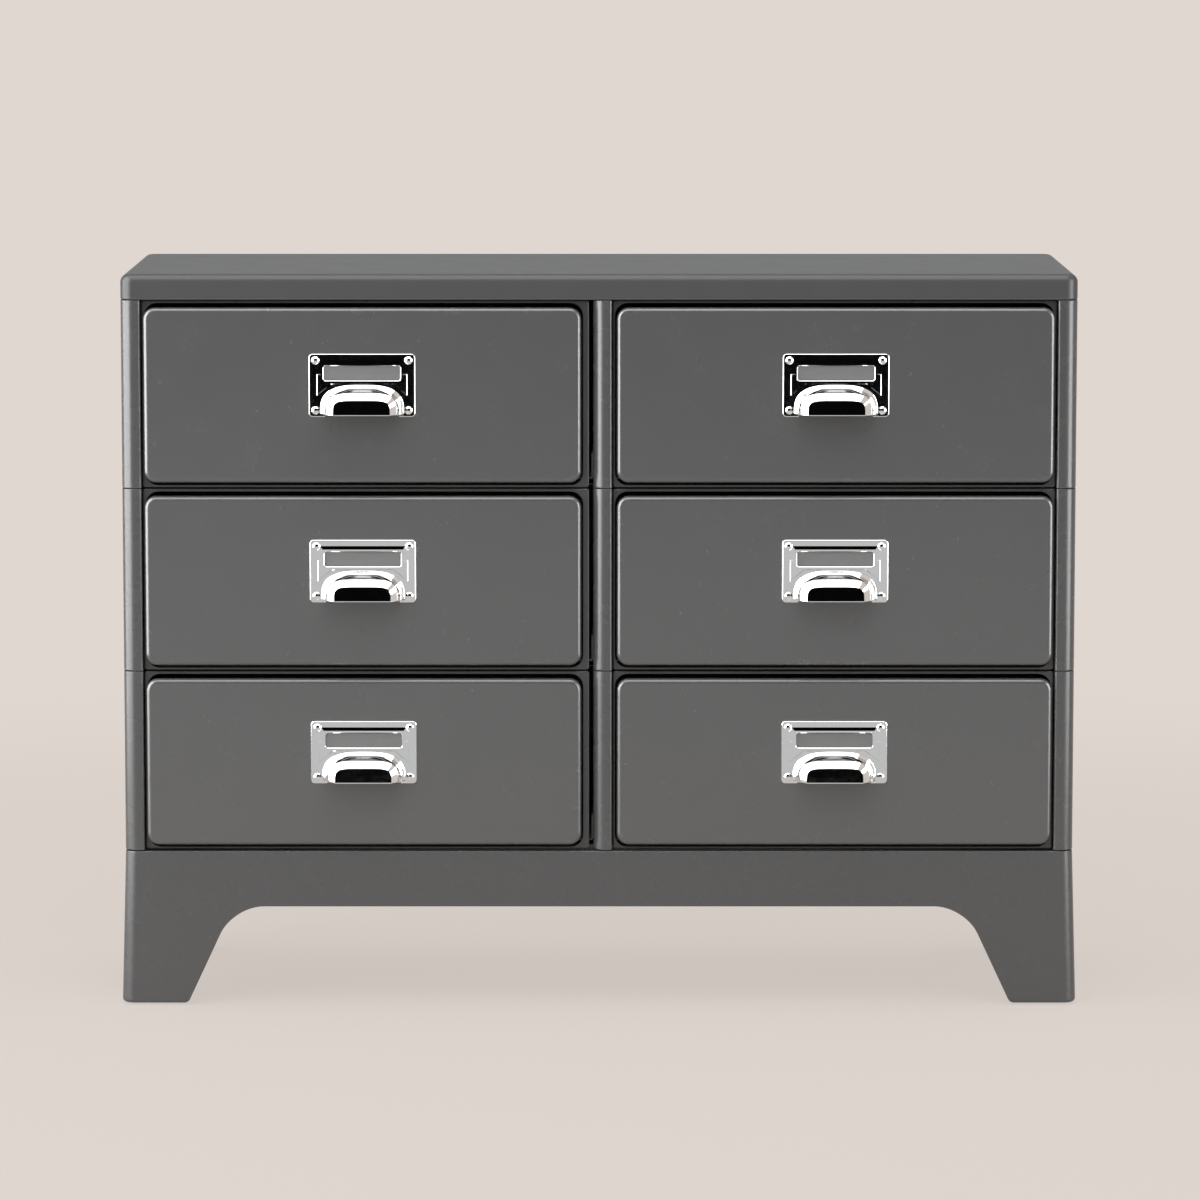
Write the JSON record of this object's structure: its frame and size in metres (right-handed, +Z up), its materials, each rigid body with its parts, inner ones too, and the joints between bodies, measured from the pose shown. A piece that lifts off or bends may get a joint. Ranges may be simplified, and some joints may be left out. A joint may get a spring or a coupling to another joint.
{
  "type": "drawer cabinet",
  "caption": "Low sheet-steel drawer cabinet on a splayed base, with stacked drawer tiers, rounded corners and chromed cup pulls that hold label cards.",
  "frame": {"origin": "on the floor, under the middle of the overall box, label pulls included", "axes": "+X to the right across the front, -Y out of the front towards the user, +Z up"},
  "size_m": [0.888, 0.327, 0.6802],
  "materials": {
    "enamel": "satin dark grey",
    "inner_enamel": "satin grey, thinner coat inside",
    "zinc": "zinc plated",
    "chrome": "polished",
    "card": "blank grey card",
    "nylon": "black"
  },
  "bodies": {
    "cabinet": {"top_cap": "enamel", "base": "enamel", "glides": "nylon", "back_panel": "enamel", "back_screws": "zinc", "upper_left_side": "enamel", "upper_right_side": "enamel", "upper_divider": "enamel", "upper_shelf": "inner_enamel", "middle_left_side": "enamel", "middle_right_side": "enamel", "middle_divider": "enamel", "middle_shelf": "inner_enamel", "lower_left_side": "enamel", "lower_right_side": "enamel", "lower_divider": "enamel", "lower_shelf": "inner_enamel", "upper_left_frame": "enamel", "upper_left_runners": "inner_enamel", "upper_right_frame": "enamel", "upper_right_runners": "inner_enamel", "middle_left_frame": "enamel", "middle_left_runners": "inner_enamel", "middle_right_frame": "enamel", "middle_right_runners": "inner_enamel", "lower_left_frame": "enamel", "lower_left_runners": "inner_enamel", "lower_right_frame": "enamel", "lower_right_runners": "inner_enamel"},
    "upper_left_drawer": {"upper_left_front": "enamel", "upper_left_tray": "inner_enamel", "upper_left_pull": "chrome", "upper_left_rivets": "chrome", "upper_left_label": "card"},
    "upper_right_drawer": {"upper_right_front": "enamel", "upper_right_tray": "inner_enamel", "upper_right_pull": "chrome", "upper_right_rivets": "chrome", "upper_right_label": "card"},
    "middle_left_drawer": {"middle_left_front": "enamel", "middle_left_tray": "inner_enamel", "middle_left_pull": "chrome", "middle_left_rivets": "chrome", "middle_left_label": "card"},
    "middle_right_drawer": {"middle_right_front": "enamel", "middle_right_tray": "inner_enamel", "middle_right_pull": "chrome", "middle_right_rivets": "chrome", "middle_right_label": "card"},
    "lower_left_drawer": {"lower_left_front": "enamel", "lower_left_tray": "inner_enamel", "lower_left_pull": "chrome", "lower_left_rivets": "chrome", "lower_left_label": "card"},
    "lower_right_drawer": {"lower_right_front": "enamel", "lower_right_tray": "inner_enamel", "lower_right_pull": "chrome", "lower_right_rivets": "chrome", "lower_right_label": "card"}
  },
  "joints": [
    {"name": "upper_left_slide", "type": "slide", "parent": "cabinet", "child": "upper_left_drawer", "axis": [0, -1, 0], "range_m": [0, 0.24]},
    {"name": "upper_right_slide", "type": "slide", "parent": "cabinet", "child": "upper_right_drawer", "axis": [0, -1, 0], "range_m": [0, 0.24]},
    {"name": "middle_left_slide", "type": "slide", "parent": "cabinet", "child": "middle_left_drawer", "axis": [0, -1, 0], "range_m": [0, 0.24]},
    {"name": "middle_right_slide", "type": "slide", "parent": "cabinet", "child": "middle_right_drawer", "axis": [0, -1, 0], "range_m": [0, 0.24]},
    {"name": "lower_left_slide", "type": "slide", "parent": "cabinet", "child": "lower_left_drawer", "axis": [0, -1, 0], "range_m": [0, 0.24]},
    {"name": "lower_right_slide", "type": "slide", "parent": "cabinet", "child": "lower_right_drawer", "axis": [0, -1, 0], "range_m": [0, 0.24]}
  ]
}
